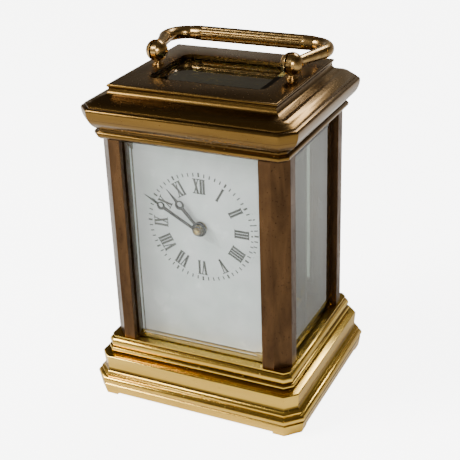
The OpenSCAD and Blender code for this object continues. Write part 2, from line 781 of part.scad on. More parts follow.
module barrel_drum() color(brass) {
    difference() {
        union() {
            plate_at(barrel_c, great_wheel_y, drum_y0)
                polygon(wheel_outline(great_n, great_m, bearing(barrel_c, inter_c)));
            rod_y(barrel_c, drum_y0 - EPS, drum_y1, barrel_d / 2);
        }
        rod_y(barrel_c, drum_y0, drum_y1 + 1, barrel_d / 2 - 0.7);
        rod_y(barrel_c, great_wheel_y - 1, drum_y1 + 1, barrel_arbor_r + run_gap);
    }
}

module barrel_cover() color(brass) {
    plate_at(barrel_c, drum_y1, drum_y1 + cover_t) difference() {
        circle(barrel_d / 2);
        circle(barrel_arbor_r + run_gap);
    }
}

module mainspring() color(steel) {
    plate_at(barrel_c, drum_y0 + 0.2, drum_y1 - 0.2)
        polygon(spiral(3.2, barrel_d / 2 - 1.15, 9, 0.3, 24));
}

module barrel_arbor() color(steel) {
    rod_y(barrel_c, plate_front + 0.1, plate_in + 0.2, barrel_arbor_r - 0.3);
    rod_y(barrel_c, plate_in + 0.15, ratchet_y, barrel_arbor_r);
    rod_y(barrel_c, drum_y0 + 0.1, drum_y1 - 0.1, 2.6);
    plate_at(barrel_c, ratchet_y - EPS, ratchet_y + 5) square(square_s, center = true);
}

function ratchet_outline(n, r, depth) = [for (k = [0:n - 1]) each
    [(r - depth) * [cos(360 * (k - 0.12) / n), sin(360 * (k - 0.12) / n)],
     r * [cos(360 * k / n), sin(360 * k / n)]]];

module ratchet_wheel() color(steel) {
    plate_at(barrel_c, ratchet_y, ratchet_y + ratchet_t) difference() {
        polygon(ratchet_outline(ratchet_n, ratchet_r, 0.55));
        square(square_s, center = true);
    }
}

click_nose = barrel_c + (ratchet_r + 0.12) * [cos(click_lean + 42), sin(click_lean + 42)];
spring_foot = click_c + [1.6, 5.2];

module click() color(steel) {
    plate_at([0, 0], ratchet_y, ratchet_y + ratchet_t) difference() {
        union() {
            translate(click_c) circle(1);
            polygon([click_c + [0.95, 0.2], click_nose + [0.9, 0.75], click_nose, click_c + [-0.9, -0.1]]);
        }
        translate(click_c) circle(0.5 + run_gap);
    }
}

module click_screw() color(steel) {
    rod_y(click_c, plate_back - 1, plate_back + EPS, 0.4);
    rod_y(click_c, plate_back, ratchet_y + ratchet_t + 0.05, 0.5);
    difference() {
        rod_y(click_c, ratchet_y + ratchet_t + 0.05, ratchet_y + ratchet_t + 0.65, 0.9);
        translate([click_c[0], ratchet_y + ratchet_t + 0.6, click_c[1]]) cube([3, 0.5, 0.2], center = true);
    }
}

module click_spring() color(steel) {
    tip = click_nose + [0.9, 0.8];
    plate_at([0, 0], ratchet_y, ratchet_y + 0.7) {
        translate(spring_foot) circle(0.9);
        polygon([spring_foot + [-0.3, 0.6], tip + [-0.1, 0.3], tip, spring_foot + [0.2, 0.2]]);
    }
    rod_y(spring_foot, plate_back - 1, ratchet_y + EPS, 0.35);
}

// ---------------------------------------------------------------- going train

module wheel_at(p, y, n, m, a) {
    r = n * m / 2;
    plate_at(p, y, y + wheel_t) crossed(wheel_outline(n, m, a), r - 0.9, 1.3, 5);
}

module pinion_at(p, y0, y1, n, m, a) { plate_at(p, y0, y1) polygon(pinion_outline(n, m, a)); }

// Half a pinion pitch, so that a space faces the wheel's tooth
function space(n) = 180 / n;

module intermediate_arbor() {
    color(steel) arbor(inter_c);
    color(steel) pinion_at(inter_c, great_wheel_y - 0.4, great_wheel_y + great_t + 0.4, inter_pinion,
        great_m, bearing(inter_c, barrel_c) + space(inter_pinion));
    color(brass) wheel_at(inter_c, inter_wheel_y, inter_n, inter_m, bearing(inter_c, dial_c));
}

module centre_arbor() {
    color(steel) rod_y(dial_c, minute_hand_y - 0.3, plate_back_in - 0.15, arbor_r - 0.05);
    color(steel) rod_y(dial_c, plate_front + 0.1, plate_back_in - 0.15, arbor_r);
    color(steel) rod_y(dial_c, plate_back_in - 0.2, plate_back - 0.1, pivot_r);
    color(steel) pinion_at(dial_c, inter_wheel_y - 0.5, inter_wheel_y + wheel_t + 0.5, centre_pinion,
        inter_m, bearing(dial_c, inter_c) + space(centre_pinion));
    color(brass) wheel_at(dial_c, centre_wheel_y, centre_n, centre_m, bearing(dial_c, third_c));
}

module third_arbor() {
    color(steel) arbor(third_c);
    color(steel) pinion_at(third_c, centre_wheel_y - 0.5, centre_wheel_y + wheel_t + 0.5, third_pinion,
        centre_m, bearing(third_c, dial_c) + space(third_pinion));
    color(brass) wheel_at(third_c, third_wheel_y, third_n, third_m, bearing(third_c, contrate_c));
}

module contrate_arbor() {
    r = contrate_n * contrate_m / 2;
    color(steel) arbor(contrate_c);
    color(steel) pinion_at(contrate_c, third_wheel_y - 0.5, third_wheel_y + wheel_t + 0.5, contrate_pinion,
        third_m, bearing(contrate_c, third_c) + space(contrate_pinion));
    color(brass) {
        plate_at(contrate_c, contrate_disc_y, contrate_disc_y + 0.5) difference() {
            circle(r + 0.25);
            difference() {
                circle(r - 0.9);
                circle(1.3);
                for (k = [0:3]) rotate(90 * k) translate([0, -0.35]) square([r, 0.7]);
            }
        }
        plate_at(contrate_c, contrate_disc_y - 0.62, contrate_disc_y + EPS) intersection() {
            difference() {
                circle(r + 0.25);
                circle(r - 0.55);
            }
            for (k = [0:contrate_n - 1]) rotate(90 + 360 * k / contrate_n)
                translate([r - 1, -0.085]) square([2, 0.17]);
        }
    }
}

module escape_arbor() {
    z0 = contrate_c[1] + contrate_n * contrate_m / 2 - 1.1;
    color(steel) rod_z(escape_c, z0 - 0.9, cock_z - 1.4, 0.2);
    color(steel) rod_z(escape_c, z0 + 1.9, escape_z + 0.5, 0.32);
    color(steel) translate([escape_c[0], escape_c[1], z0]) linear_extrude(2)
        polygon(pinion_outline(escape_pinion, contrate_m, 90 + space(escape_pinion)));
    color(brass) translate([escape_c[0], escape_c[1], escape_z]) linear_extrude(0.4)
        mirror([0, 1]) crossed(escape_outline(), escape_r - 0.85, 0.8, 4);
}

// Fifteen club teeth, leaning the way the wheel turns
function escape_outline() = [for (k = [0:14]) let (a = 24 * k) each
    [(escape_r - 0.6) * [cos(a - 5), sin(a - 5)], (escape_r - 0.06) * [cos(a + 1), sin(a + 1)],
     escape_r * [cos(a + 4), sin(a + 4)], (escape_r - 0.6) * [cos(a + 1.5), sin(a + 1.5)],
     (escape_r - 0.7) * [cos(a + 9), sin(a + 9)]]];

// ---------------------------------------------------------------- motion work

cannon_r = 0.75;
hour_pipe_r = 1.15;
stud_r = 0.4;
layer_a = plate_front - 1;
layer_b = layer_a - 1.1;
minute_tip_y = layer_b - 0.25;

module cannon_pinion() color(steel) {
    difference() {
        union() {
            plate_at(dial_c, layer_a, layer_a + 0.7)
                polygon(pinion_outline(12, motion_m, bearing(dial_c, minute_c) + space(12)));
            rod_y(dial_c, minute_hand_y, layer_a + 0.1, cannon_r);
        }
        rod_y(dial_c, minute_hand_y - 1, layer_a + 1, arbor_r - 0.05);
    }
}

module minute_wheel() color(brass) {
    difference() {
        union() {
            plate_at(minute_c, layer_a + 0.05, layer_a + 0.65)
                polygon(wheel_outline(36, motion_m, bearing(minute_c, dial_c)));
            plate_at(minute_c, layer_b - 0.1, layer_a + 0.1)
                polygon(pinion_outline(10, hour_m, bearing(minute_c, dial_c) + space(10)));
        }
        rod_y(minute_c, layer_b - 1, layer_a + 1, stud_r + run_gap);
    }
}

module hour_wheel() color(brass) {
    difference() {
        union() {
            plate_at(dial_c, layer_b, layer_b + 0.6)
                polygon(wheel_outline(40, hour_m, bearing(dial_c, minute_c)));
            rod_y(dial_c, hour_hand_y, layer_b + 0.1, hour_pipe_r);
        }
        rod_y(dial_c, hour_hand_y - 1, layer_b + 1, cannon_r + run_gap);
    }
}

module setting_arbor() color(steel) {
    rod_y(set_c, layer_a - 0.3, plate_back + 0.3, arbor_r);
    plate_at(set_c, layer_a + 0.05, layer_a + 0.65)
        polygon(pinion_outline(12, motion_m, bearing(set_c, minute_c)
            + space_phase(bearing(set_c, minute_c), bearing(dial_c, minute_c))));
    plate_at(set_c, plate_back + 0.3 - EPS, plate_back + 5.3) square(1.2, center = true);
    rod_y(set_c, plate_back + 0.1, plate_back + 0.4, 0.9);
}

// The minute wheel has a tooth towards the centre; this turns the setting pinion to match
function space_phase(to_minute, from_centre) =
    let (away = to_minute - 180 - (from_centre + 180), teeth = away / 10)
    15 + 30 * (teeth - floor(teeth));

// ---------------------------------------------------------------- platform escapement

module platform_screw_holes(z) {
    for (x = [platform_x0 + 1.4, platform_x1 - 1.4], y = [plate_front + plate_t / 2, plate_back - plate_t / 2])
        rod_z([x, y], z, platform_top + 1, 0.35);
}

module platform() color(brass) {
    potence_z = contrate_c[1] + contrate_n * contrate_m / 2 - 2.9;
    difference() {
        union() {
            box([platform_x0, plate_front, platform_z], [platform_x1, plate_back, platform_top]);
            box([escape_c[0] - 1, escape_c[1] - 4.5, potence_z], [escape_c[0] + 1, escape_c[1] - 3.4, platform_z + EPS]);
            box([escape_c[0] - 1, escape_c[1] - 4.5, potence_z], [escape_c[0] + 1, escape_c[1] + 0.55, potence_z + 0.8]);
        }
        rod_z(escape_c, potence_z + 0.8, platform_top + 1, 0.95);
        rod_z(escape_c, potence_z - 1, potence_z + 1, 0.2 + run_gap);
        for (c = [lever_c, balance_c]) rod_z(c, platform_z - 1, platform_top + 1, 0.7);
        platform_screw_holes(platform_z - 1);
    }
}

module platform_screws() color(blued) {
    for (x = [platform_x0 + 1.4, platform_x1 - 1.4], y = [plate_front + plate_t / 2, plate_back - plate_t / 2])
        translate([x, y, 0]) difference() {
            union() {
                rod_z([0, 0], platform_top, platform_top + 0.6, 0.75);
                rod_z([0, 0], platform_top - 3, platform_top + EPS, 0.35);
            }
            box([-1, -0.1, platform_top + 0.35], [1, 0.1, platform_top + 1]);
        }
}

module jewel(c, z0, z1) {
    translate([c[0], c[1], z0]) difference() {
        cylinder(h = z1 - z0, r = 0.7);
        translate([0, 0, -1]) cylinder(h = 4, r = 0.12 + run_gap);
    }
}

module platform_jewels() color(ruby) {
    for (c = [lever_c, balance_c]) jewel(c, platform_top - 0.5, platform_top);
}

module cock(c, foot, z_arm, arm_t, w, top_hole) {
    difference() {
        union() {
            box([foot[0], foot[1], platform_top], [foot[2], foot[3], z_arm + arm_t]);
            children();
        }
        rod_z(c, z_arm - 1, z_arm + arm_t + 1, top_hole);
    }
}

module escape_cock() color(brass) {
    z = cock_z - 2.1;
    cock(escape_c, [escape_c[0] + 3.4, escape_c[1] - 1.6, escape_c[0] + 6, escape_c[1] + 1.6], z, 0.7, 2,
         0.2 + run_gap)
        box([escape_c[0] - 0.9, escape_c[1] - 0.9, z], [escape_c[0] + 4, escape_c[1] + 0.9, z + 0.7]);
}

module lever_cock() color(brass) {
    z = platform_top + 1.25;
    cock(lever_c, [lever_c[0] - 1.4, lever_c[1] - 6.8, lever_c[0] + 1.2, lever_c[1] - 4.4], z, 0.5, 1.4,
         0.12 + run_gap)
        box([lever_c[0] - 0.7, lever_c[1] - 5, z], [lever_c[0] + 0.7, lever_c[1] + 0.7, z + 0.5]);
}

module pallet_lever() {
    color(steel) rod_z(lever_c, platform_top - 0.4, platform_top + 1.7, 0.12);
    color(steel) rod_z(lever_c, lever_z - 0.15, lever_z + lever_t + 0.15, 0.3);
    color(steel) translate([lever_c[0], lever_c[1], lever_z]) {
        cylinder(h = lever_t, r = 0.62);
        linear_extrude(lever_t)
            polygon([[-0.3, 0.3], [-1.8, 0.2], [-2.4, 0.45], [-2.4, 0.2], [-2.05, 0],
                     [-2.4, -0.2], [-2.4, -0.45], [-1.8, -0.2], [-0.3, -0.3]]);
        for (s = [-1, 1]) rotate(s * pallet_lean) box([0.3, -0.26, 0], [2.3, 0.26, lever_t]);
    }
    color(ruby) for (s = [-1, 1]) translate([lever_c[0], lever_c[1], lever_z]) rotate(s * pallet_lean)
        box([1.75, s > 0 ? -0.4 : -0.1, 0.06], [2.15, s > 0 ? 0.1 : 0.4, lever_t - 0.06]);
}

module balance() {
    color(steel) rod_z(balance_c, platform_top - 0.4, cock_z + 0.6, 0.12);
    color(steel) rod_z(balance_c, platform_top + 0.3, cock_z - 0.2, 0.3);
    color(steel) rod_z(balance_c, roller_z, roller_z + 0.3, 1.1);
    color(ruby) rod_z(balance_c + [0.85, 0], escape_z - 0.1, roller_z + EPS, 0.12);
    color(brass) translate([balance_c[0], balance_c[1], balance_z]) linear_extrude(0.6) difference() {
        circle(balance_r);
        difference() {
            circle(balance_r - 0.6);
            circle(0.7);
            square([2 * balance_r, 0.6], center = true);
        }
    }
}

module hairspring() color(blued) {
    translate([balance_c[0], balance_c[1], spring_z]) linear_extrude(0.3)
        polygon(spiral(0.6, 2.5, 5, 0.1, 20));
}

module balance_cock() color(brass) {
    cock(balance_c, [platform_x0, balance_c[1] - 3.4, platform_x0 + 1.7, balance_c[1] + 3.4], cock_z, 0.9, 2,
         0.12 + run_gap) {
        box([platform_x0, balance_c[1] - 1.3, cock_z], [balance_c[0], balance_c[1] + 1.3, cock_z + 0.9]);
        rod_z(balance_c, cock_z, cock_z + 0.9, 1.3);
        rod_z(balance_c, cock_z + 0.9 - EPS, cock_z + 1.4, 0.7);
        rod_z(balance_c + [-2.4, 0.9], spring_z - 0.1, cock_z + EPS, 0.22);
    }
}

module regulator() color(steel) {
    translate([balance_c[0], balance_c[1], cock_z + 0.92]) difference() {
        union() {
            cylinder(h = 0.3, r = 1.15);
            linear_extrude(0.3) polygon([[0.95, 0.35], [4.6, 0.12], [4.6, -0.12], [0.95, -0.35]]);
        }
        translate([0, 0, -1]) cylinder(h = 3, r = 0.7 + run_gap);
    }
}

base_moulding();
cornice();
pillar_front_left();
pillar_front_right();
pillar_back_left();
pillar_back_right();
case_tie_screws();
front_glass();
left_glass();
right_glass();
top_glass();
top_glass_retainer();
retainer_screws();
handle_bail();
handle_pivot_pins();
handle_posts();
handle_washers();
handle_nuts();
door_frame();
door_glass();
door_glass_bead();
door_hinge_pins();
door_knob();
dial();
dial_pins();
hour_hand();
minute_hand();
hand_collet();
front_plate();
back_plate();
plate_pillars();
plate_screws();
movement_screws();
barrel_drum();
barrel_cover();
mainspring();
barrel_arbor();
ratchet_wheel();
click();
click_screw();
click_spring();
intermediate_arbor();
centre_arbor();
third_arbor();
contrate_arbor();
escape_arbor();
cannon_pinion();
minute_wheel();
hour_wheel();
setting_arbor();
platform();
platform_screws();
platform_jewels();
escape_cock();
lever_cock();
pallet_lever();
balance();
hairspring();
balance_cock();
regulator();
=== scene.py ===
# %% [markdown]
# A miniature carriage clock in brass and glass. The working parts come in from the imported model, all in
# metres: X runs to the right of someone reading the dial, the dial faces -Y, and Z is up from the table.
# This lesson gives every part the surface of the real one, and remakes the parts whose surface the eye
# rests on.

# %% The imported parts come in
import json
import math

import bmesh
import bpy
from mathutils import Matrix, Vector


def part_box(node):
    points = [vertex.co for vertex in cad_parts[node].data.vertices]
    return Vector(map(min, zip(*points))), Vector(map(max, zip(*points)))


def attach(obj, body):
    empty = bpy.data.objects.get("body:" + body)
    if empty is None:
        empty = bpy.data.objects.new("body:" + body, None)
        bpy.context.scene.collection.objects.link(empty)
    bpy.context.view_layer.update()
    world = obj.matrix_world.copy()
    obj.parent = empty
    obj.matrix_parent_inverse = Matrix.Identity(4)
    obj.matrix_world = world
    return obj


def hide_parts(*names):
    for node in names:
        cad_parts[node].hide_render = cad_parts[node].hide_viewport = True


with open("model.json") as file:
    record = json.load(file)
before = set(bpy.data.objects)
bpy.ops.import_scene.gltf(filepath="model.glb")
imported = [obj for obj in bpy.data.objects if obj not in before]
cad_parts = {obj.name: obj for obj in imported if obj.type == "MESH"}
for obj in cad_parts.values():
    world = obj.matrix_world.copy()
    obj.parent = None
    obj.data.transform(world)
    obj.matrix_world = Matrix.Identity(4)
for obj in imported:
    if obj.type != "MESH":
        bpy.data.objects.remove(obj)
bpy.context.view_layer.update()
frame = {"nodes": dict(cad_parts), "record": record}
MM = 0.001
body_of_node = {n: b for b, ns in frame["record"]["behaviour"]["bodies"].items() for n in ns}
slot_of_node = {s["node"]: s["material_slot"] for s in frame["record"]["subparts"]}

# %% [markdown]
# The camera stands where someone bending over a desk would hold it: a little to the right of the dial and
# well above it, close enough that the near corner of the base looks clearly larger than the far one. Three
# angles and a place fix it. Turning the three angles into the camera's own right, up and backward
# directions is plainer than aiming it with a constraint, because the slight roll comes along for free.

# %% Camera
AZIMUTH, ELEVATION, ROLL = (math.radians(a) for a in (25.853, 25.72, -2.104))
level = math.cos(ELEVATION)
backward = Vector((math.sin(AZIMUTH) * level, -math.cos(AZIMUTH) * level, math.sin(ELEVATION)))
level_right = Vector((math.cos(AZIMUTH), math.sin(AZIMUTH), 0))
level_up = backward.cross(level_right)
right = level_right * math.cos(ROLL) + level_up * math.sin(ROLL)
up = level_up * math.cos(ROLL) - level_right * math.sin(ROLL)
lens = bpy.data.cameras.new("camera")
lens.lens, lens.sensor_width, lens.clip_start, lens.clip_end = 81.1, 36, 0.01, 20
camera = bpy.data.objects.new("camera", lens)
camera.matrix_world = Matrix((right, up, backward)).transposed().to_4x4()
camera.location = (0.10048, -0.20675, 0.1495)
bpy.context.scene.collection.objects.link(camera)
bpy.context.scene.camera = camera

# %% [markdown]
# Brass is a mirror, so most of what the eye reads as its colour is the room. A white table, one broad
# window of light to the left, a smaller one behind to the right and a dim warm room above give each
# moulding a bright line and a dark line. The room is drawn as a gradient on the world, which costs no
# render time.

# %% Table, lights and room
def area_light(name, place, target, size, watts, hue):
    data = bpy.data.lights.new(name, "AREA")
    data.shape, data.size, data.size_y = "RECTANGLE", size[0], size[1]
    data.energy, data.color = watts, hue
    lamp = bpy.data.objects.new(name, data)
    lamp.location = place
    lamp.rotation_euler = (Vector(target) - Vector(place)).to_track_quat("-Z", "Y").to_euler()
    bpy.context.scene.collection.objects.link(lamp)


clock_middle = (0, 0, 0.045)
area_light("window_left", (-0.50, -0.34, 0.46), clock_middle, (0.36, 0.26), 11.0, (1.0, 0.99, 0.97))
area_light("window_back", (0.10, 0.60, 0.62), clock_middle, (0.34, 0.16), 4.0, (1.0, 0.98, 0.95))
area_light("lamp_front", (0.34, -0.60, 0.30), clock_middle, (0.20, 0.12), 4.0, (1.0, 0.97, 0.92))

# %% Small helpers for colours and nodes
def tint(code):
    """sRGB hex to the linear colour that Blender mixes in."""
    parts = [int(code[i:i + 2], 16) / 255 for i in (1, 3, 5)]
    return (*[c / 12.92 if c <= 0.04045 else ((c + 0.055) / 1.055) ** 2.4 for c in parts], 1)


def add(tree, kind, links=(), **settings):
    """Adds a node, sets its settings, then fills or links its inputs."""
    made = tree.nodes.new("ShaderNode" + kind)
    for name, value in settings.items():
        setattr(made, name, value)
    for socket, value in dict(links).items():
        if isinstance(value, bpy.types.NodeSocket):
            tree.links.new(value, made.inputs[socket])
        else:
            made.inputs[socket].default_value = value
    return made


def ramp(tree, factor, *stops):
    """Colour ramp through (place, colour) stops."""
    made = add(tree, "ValToRGB", {"Fac": factor})
    bar = made.color_ramp.elements
    while len(bar) < len(stops):
        bar.new(0.5)
    for step, (place, colour) in zip(bar, stops):
        step.position, step.color = place, colour
    return made.outputs["Color"]


room = bpy.data.worlds.new("room")
bpy.context.scene.world = room
room.use_nodes = True
room.node_tree.nodes.clear()
direction = add(room.node_tree, "TexCoord").outputs["Generated"]
height = add(room.node_tree, "SeparateXYZ", {"Vector": direction}).outputs["Z"]
shade = ramp(room.node_tree, height, (0.0, tint("#DAD2C4")), (0.20, tint("#988E7C")), (0.42, tint("#4A4238")),
             (0.75, tint("#484034")), (1.0, tint("#6A6456")))
glow = add(room.node_tree, "Background", {"Color": shade, "Strength": 1.0})
add(room.node_tree, "OutputWorld", {"Surface": glow.outputs["Background"]})

# %% [markdown]
# Every finish starts the same way: a Principled shader, patterns that read the Object coordinates (metres,
# so a pattern can be given a real size), and one bump. mottle() turns a size in millimetres into a noise
# scale, so that a 2 mm blotch is 2 mm wide on every part.

# %% Building blocks of a finish
def new_finish(name, **flat):
    """A material with a Principled shader; flat values go straight on the shader's sockets."""
    made = bpy.data.materials.new(name)
    made.use_nodes = True
    tree = made.node_tree
    shader = tree.nodes["Principled BSDF"]
    for socket, value in flat.items():
        shader.inputs[socket.replace("_", " ")].default_value = value
    place = add(tree, "TexCoord").outputs["Object"]
    return made, tree, shader, place


def mottle(tree, place, size_mm, detail=4, roughness=0.55, stretch=(1, 1, 1), distortion=0.0):
    """Noise whose blotches are about size_mm wide."""
    at = add(tree, "Mapping", {"Vector": place, "Scale": stretch}).outputs["Vector"]
    return add(tree, "TexNoise", {"Vector": at, "Scale": 1 / (size_mm * MM), "Detail": detail,
                                  "Roughness": roughness, "Distortion": distortion}).outputs["Fac"]


def blend(tree, factor, low, high, mode="MIX"):
    """Mixes two colours by a factor."""
    mixed = add(tree, "Mix", {0: factor}, data_type="RGBA", blend_type=mode)
    for slot, value in ((6, low), (7, high)):
        if isinstance(value, bpy.types.NodeSocket):
            tree.links.new(value, mixed.inputs[slot])
        else:
            mixed.inputs[slot].default_value = value
    return mixed.outputs[2]


def span(tree, value, low, high, out_low, out_high):
    """Maps one range of numbers onto another, with the ends held."""
    return add(tree, "MapRange", {"Value": value, "From Min": low, "From Max": high,
                                  "To Min": out_low, "To Max": out_high}).outputs["Result"]


def wire(tree, shader, colour=None, roughness=None, bump=None, bump_mm=0.02, strength=0.3):
    """Connects what a finish worked out to its shader."""
    if colour is not None:
        tree.links.new(colour, shader.inputs["Base Color"])
    if roughness is not None:
        tree.links.new(roughness, shader.inputs["Roughness"])
    if bump is not None:
        made = add(tree, "Bump", {"Height": bump, "Distance": bump_mm * MM, "Strength": strength})
        tree.links.new(made.outputs["Normal"], shader.inputs["Normal"])


def old_brass(name, bright, dull, stain_and_shade, rough, blotch_mm, spots=0.3, grain=(1, 1, 1), groove=None):
    """Brass that was polished long ago: bright metal, duller blotches, small dark spots and soft wear.
    groove gives heights in mm between which the colour is darkened, for dirt and for painted shade in the
    recesses."""
    made, tree, shader, place = new_finish(name, Metallic=1.0)
    blotch = mottle(tree, place, blotch_mm, stretch=grain, distortion=0.4)
    colour = ramp(tree, blotch, (0.30, tint(dull)), (0.68, tint(bright)))
    speck = mottle(tree, place, blotch_mm / 6, detail=2)
    mask = span(tree, speck, 0.70 - 0.1 * spots, 0.76, 0.0, min(1.0, 0.2 + spots))
    colour = blend(tree, mask, colour, tint(stain_and_shade))
    # Painted shade and dirt: across each groove's band of heights the colour goes towards the stain colour,
    # standing for the shade that falls in the moulding's recesses as well as the dirt in them.
    if groove:
        z = add(tree, "SeparateXYZ", {"Vector": place}).outputs["Z"]
        for low, high in groove:
            middle, half = (low + high) / 2 * MM, (high - low) / 2 * MM
            away = add(tree, "Math", {0: z, 1: middle}, operation="SUBTRACT").outputs[0]
            away = add(tree, "Math", {0: away}, operation="ABSOLUTE").outputs[0]
            dirt_and_painted_shade = span(tree, away, half * 0.6, half * 1.25, 0.85, 0.0)
            patchy = span(tree, blotch, 0.3, 0.7, 1.0, 0.6)
            dirt_and_painted_shade = add(tree, "Math", {0: dirt_and_painted_shade, 1: patchy}, operation="MULTIPLY").outputs[0]
            colour = blend(tree, dirt_and_painted_shade, colour, tint(stain_and_shade))
    fine = mottle(tree, place, 0.25, detail=3, stretch=grain)
    worn = add(tree, "Math", {0: span(tree, blotch, 0.3, 0.7, rough * 1.5, rough * 0.8), 1: mask},
               operation="ADD").outputs[0]
    worn = add(tree, "Math", {0: worn, 1: 0.75}, operation="MINIMUM").outputs[0]
    height = add(tree, "Math", {0: fine, 1: mask}, operation="SUBTRACT").outputs[0]
    wire(tree, shader, colour, worn, height, 0.012, 0.25)
    return made

# %% [markdown]
# The case was cast in brass, filed, polished and lacquered. A century of handling leaves each part its own
# tone: the base is rubbed bright where it is lifted, the cornice is dark under old lacquer, the pillars
# have gone brown and spotted, and the handle is worn bright along its ridges. Brass reflects yellow because
# the metal itself is coloured, so Metallic is 1 and the colour lives in Base Color.

# %% Case brasses
# The groove heights below are the recesses of the base and cornice mouldings, darkened in colour as dirt and
# painted shade.
base_brass = old_brass("polished_cast_brass",
                       "#D9B658", "#BE9842", "#33220D", 0.18, 5.0, 0.0, (0.12, 0.12, 1),
                       groove=((6.1, 6.95), (10.4, 11.35), (12.05, 12.5), (14.35, 14.8)))
cornice_brass = old_brass("lacquered_cast_brass",
                          "#6E542A", "#57411F", "#281B0E", 0.22, 4.0, 0.1, (0.12, 0.12, 1),
                          groove=((68.95, 69.4), (70.9, 71.05), (72.2, 72.32), (74.8, 74.98), (78.45, 78.6)))
pillar_brass = old_brass("browned_rolled_brass",
                         "#543D27", "#3E2C1C", "#1A110A", 0.3, 2.6, 0.55, (1, 1, 0.25))
handle_brass = old_brass("handled_turned_brass", "#A88A58", "#80653C", "#22160B", 0.22, 2.2, 0.15)
door_brass = old_brass("satin_rolled_brass", "#8E6E3C", "#6A4F2A", "#2A1C0E", 0.3, 3.5, 0.3, (1, 1, 0.2))
movement_brass = old_brass("grained_plate_brass",
                           "#C8AC6C", "#A98C50", "#4E3A1A", 0.26, 6.0, 0.0, (1, 1, 0.1))

# %% [markdown]
# Steel parts of the movement are hardened and polished; the hands and the platform's screws are heated
# until a blue-black skin forms. Both are plain metals with a very fine grain, so a little noise in the
# roughness is enough to stop them looking like plastic.

# %% Steels
def clock_steel(name, light, dark, rough, blotch_mm):
    made, tree, shader, place = new_finish(name, Metallic=1.0)
    tone = mottle(tree, place, blotch_mm)
    colour = ramp(tree, tone, (0.35, tint(dark)), (0.65, tint(light)))
    fine = mottle(tree, place, 0.15, detail=3)
    wire(tree, shader, colour, span(tree, tone, 0.3, 0.7, rough * 1.4, rough * 0.8), fine, 0.006, 0.2)
    return made


polished_steel = clock_steel("polished_hardened_steel", "#C2C4C8", "#A2A4AA", 0.18, 1.5)
spring_steel = clock_steel("grey_spring_steel", "#6C7080", "#4E5262", 0.25, 1.0)
blued_steel = clock_steel("blued_steel", "#14151B", "#07080A", 0.34, 0.8)

# %% [markdown]
# Plate glass of this age is faintly green and never quite clean. Transmission 1 and an IOR of 1.52 bend
# light through the solid pane, so the ground bevels show by refraction alone, and a film of dust is a
# little roughness in soft patches. Light on its way into the case would have to find a lucky path through
# solid glass, so Alpha lets shadow and diffuse rays pass; the eye's own rays still meet real glass. The
# front pane lets more light pass than the others, because the dial behind it is the thing to be read.

# %% Glass
def plate_glass(name, held_back, dust_and_shade_tint, clear_and_shade_tint, shine):
    made, tree, shader, place = new_finish(name, Transmission_Weight=1.0, IOR=1.52, Specular_IOR_Level=shine)
    film = mottle(tree, place, 9.0, detail=5)
    wire(tree, shader, ramp(tree, film, (0.3, tint(dust_and_shade_tint)), (0.7, tint(clear_and_shade_tint))),
         span(tree, film, 0.55, 0.8, 0.0, 0.01))
    ray = add(tree, "LightPath")
    shadow_ray, diffuse_ray = ray.outputs["Is Shadow Ray"], ray.outputs["Is Diffuse Ray"]
    passing = add(tree, "Math", {0: shadow_ray, 1: diffuse_ray}, operation="MAXIMUM")
    tree.links.new(span(tree, passing.outputs[0], 0.0, 1.0, 1.0, held_back), shader.inputs["Alpha"])
    return made


front_pane_glass = plate_glass("bevelled_plate_glass", 0.08, "#E4F0E8", "#F2F8F4", 0.5)
# The side and top panes are tinted far darker than the front one: painted shade that darkens the inside of
# the case seen through them, on top of the glass's own green and dust.
side_pane_glass = plate_glass("shaded_plate_glass", 0.7, "#75837A", "#8C9A90", 0.3)

# %% [markdown]
# The dial is copper covered in fired white enamel: glassy, faintly cool, and very slightly wavy like the
# skin of an orange. The figures are black enamel fired into the white, so they are glossy too and a little
# thin in places.

# %% Enamels and ruby
dial_enamel, tree, shader, place = new_finish("fired_white_enamel",
                                              Coat_Weight=0.6, Coat_Roughness=0.04, IOR=1.5)
cloud = mottle(tree, place, 7.0, detail=5)
speck = span(tree, mottle(tree, place, 0.35, detail=1), 0.74, 0.8, 0.0, 0.5)
white = ramp(tree, cloud, (0.3, tint("#ACAEB5")), (0.7, tint("#BEC0C6")))
wire(tree, shader, blend(tree, speck, white, tint("#8E8C88")), span(tree, cloud, 0.3, 0.7, 0.16, 0.3),
     mottle(tree, place, 1.2, detail=1), 0.01, 0.15)

figure_enamel, tree, shader, place = new_finish("fired_black_enamel", IOR=1.5)
thin = mottle(tree, place, 0.9, detail=4)
wire(tree, shader, ramp(tree, thin, (0.40, tint("#050608")), (0.78, tint("#16171A"))),
     span(tree, thin, 0.3, 0.7, 0.35, 0.5))

jewel_ruby, tree, shader, place = new_finish("synthetic_ruby", Transmission_Weight=0.6, IOR=1.76)
wire(tree, shader, ramp(tree, mottle(tree, place, 0.5), (0.3, tint("#8E0F2A")), (0.7, tint("#C4183C"))),
     span(tree, mottle(tree, place, 0.2), 0.3, 0.7, 0.05, 0.12))

# The table glows for the camera, and hardly at all for the light that reaches the clock.
table_top, tree, shader, place = new_finish("white_table", IOR=1.45)
wire(tree, shader, ramp(tree, mottle(tree, place, 40.0), (0.3, tint("#EDEDEB")), (0.7, tint("#F3F3F1"))),
     span(tree, mottle(tree, place, 12.0), 0.3, 0.7, 0.5, 0.6))
seen = add(tree, "LightPath").outputs["Is Camera Ray"]
tree.links.new(span(tree, seen, 0.0, 1.0, 0.1, 6.0), shader.inputs["Emission Strength"])
shader.inputs["Emission Color"].default_value = tint("#FFFFFF")

# %% Table top
table = bmesh.new()
bmesh.ops.create_grid(table, x_segments=2, y_segments=2, size=2.5)
table_mesh = bpy.data.meshes.new("table")
table.to_mesh(table_mesh)
table.free()
floor = bpy.data.objects.new("table", table_mesh)
floor.data.materials.append(table_top)
bpy.context.scene.collection.objects.link(floor)

# %% [markdown]
# Most parts already have the right shape. Their meshes arrive as loose triangles, though, so light breaks
# on every one of them. finish_part() takes a copy, merges the doubled corners, dissolves the flat triangles
# into whole faces and shades curved runs smoothly; a narrow bevel then gives each edge the thin bright line
# that real metal has.

